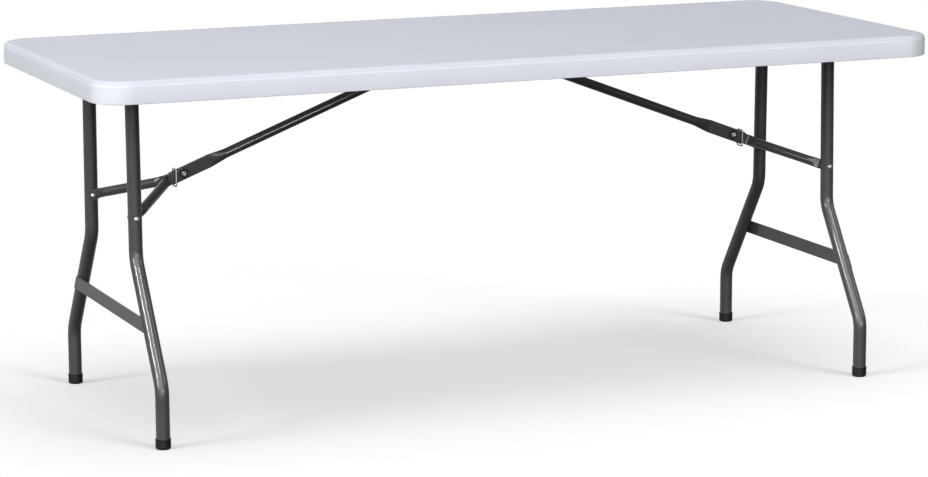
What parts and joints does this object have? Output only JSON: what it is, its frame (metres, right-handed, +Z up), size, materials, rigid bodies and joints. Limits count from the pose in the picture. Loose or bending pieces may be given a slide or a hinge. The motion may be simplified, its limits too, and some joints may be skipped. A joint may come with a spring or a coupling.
{
  "type": "folding table",
  "caption": "Rectangular folding catering table with a white blow-moulded top, steel leg frames that fold flat under it, hinged braces with sliding lock rings, and black foot caps.",
  "frame": {"origin": "on the floor, under the middle of the top", "axes": "+X along the length of the top, -Y towards the near long side in the picture, +Z up"},
  "size_m": [1.83, 0.76, 0.74],
  "materials": {
    "white_hdpe": "blow-moulded high-density polyethylene, fine grain on the top",
    "grey_powder_coat": "gloss anthracite powder coat on steel",
    "zinc_steel": "bright zinc plate",
    "black_polyethylene": "satin black moulded polyethylene",
    "natural_nylon": "natural moulded nylon"
  },
  "bodies": {
    "table_top": {"tabletop": "white_hdpe", "rail_near": "grey_powder_coat", "rail_far": "grey_powder_coat", "pivot_bush_left_near": "natural_nylon", "pivot_bush_left_far": "natural_nylon", "pivot_bush_right_near": "natural_nylon", "pivot_bush_right_far": "natural_nylon", "centre_bracket": "grey_powder_coat", "arm_pin_left": "zinc_steel", "arm_pin_right": "zinc_steel", "rail_screws": "zinc_steel", "bracket_screws": "zinc_steel"},
    "left_leg_frame": {"left_pivot_tube": "grey_powder_coat", "left_leg_near": "grey_powder_coat", "left_leg_far": "grey_powder_coat", "left_cross_brace": "grey_powder_coat", "left_foot_cap_near": "black_polyethylene", "left_foot_cap_far": "black_polyethylene", "left_leg_rivets": "zinc_steel"},
    "left_arm": {"left_brace_arm": "grey_powder_coat", "left_elbow_rivet": "zinc_steel"},
    "left_fork": {"left_fork_arm_near": "grey_powder_coat", "left_fork_arm_far": "grey_powder_coat", "left_fork_rivet_heads": "zinc_steel"},
    "left_ring": {"left_lock_ring": "zinc_steel"},
    "right_leg_frame": {"right_pivot_tube": "grey_powder_coat", "right_leg_near": "grey_powder_coat", "right_leg_far": "grey_powder_coat", "right_cross_brace": "grey_powder_coat", "right_foot_cap_near": "black_polyethylene", "right_foot_cap_far": "black_polyethylene", "right_leg_rivets": "zinc_steel"},
    "right_arm": {"right_brace_arm": "grey_powder_coat", "right_elbow_rivet": "zinc_steel"},
    "right_fork": {"right_fork_arm_near": "grey_powder_coat", "right_fork_arm_far": "grey_powder_coat", "right_fork_rivet_heads": "zinc_steel"},
    "right_ring": {"right_lock_ring": "zinc_steel"}
  },
  "joints": [
    {"name": "left_leg_fold", "type": "hinge", "parent": "table_top", "child": "left_leg_frame", "pos_m": [-0.782, 0, 0.7075], "axis": [0, -1, 0], "range_deg": [0, 90]},
    {"name": "left_arm_swing", "type": "hinge", "parent": "table_top", "child": "left_arm", "pos_m": [-0.066, 0, 0.7075], "axis": [0, 1, 0], "range_deg": [0, 20.88]},
    {"name": "left_fork_fold", "type": "hinge", "parent": "left_arm", "child": "left_fork", "pos_m": [-0.63097, 0, 0.49209], "axis": [0, -1, 0], "range_deg": [0, 180]},
    {"name": "left_ring_slide", "type": "slide", "parent": "left_arm", "child": "left_ring", "axis": [0.9344, 0, 0.3563], "range_m": [0, 0.1801]},
    {"name": "right_leg_fold", "type": "hinge", "parent": "table_top", "child": "right_leg_frame", "pos_m": [0.782, 0, 0.7075], "axis": [0, 1, 0], "range_deg": [0, 90]},
    {"name": "right_arm_swing", "type": "hinge", "parent": "table_top", "child": "right_arm", "pos_m": [0.066, 0, 0.7075], "axis": [0, -1, 0], "range_deg": [0, 20.88]},
    {"name": "right_fork_fold", "type": "hinge", "parent": "right_arm", "child": "right_fork", "pos_m": [0.63097, 0, 0.49209], "axis": [0, 1, 0], "range_deg": [0, 180]},
    {"name": "right_ring_slide", "type": "slide", "parent": "right_arm", "child": "right_ring", "axis": [-0.9344, 0, 0.3563], "range_m": [0, 0.1801]}
  ],
  "couplings": [
    {"joint": "left_arm_swing", "follows": "left_leg_fold", "ratio": 0.2319},
    {"joint": "left_fork_fold", "follows": "left_leg_fold", "ratio": 2},
    {"joint": "left_ring_slide", "follows": "left_leg_fold", "m_per_rad": 0.11459},
    {"joint": "right_arm_swing", "follows": "right_leg_fold", "ratio": 0.2319},
    {"joint": "right_fork_fold", "follows": "right_leg_fold", "ratio": 2},
    {"joint": "right_ring_slide", "follows": "right_leg_fold", "m_per_rad": 0.11459}
  ]
}
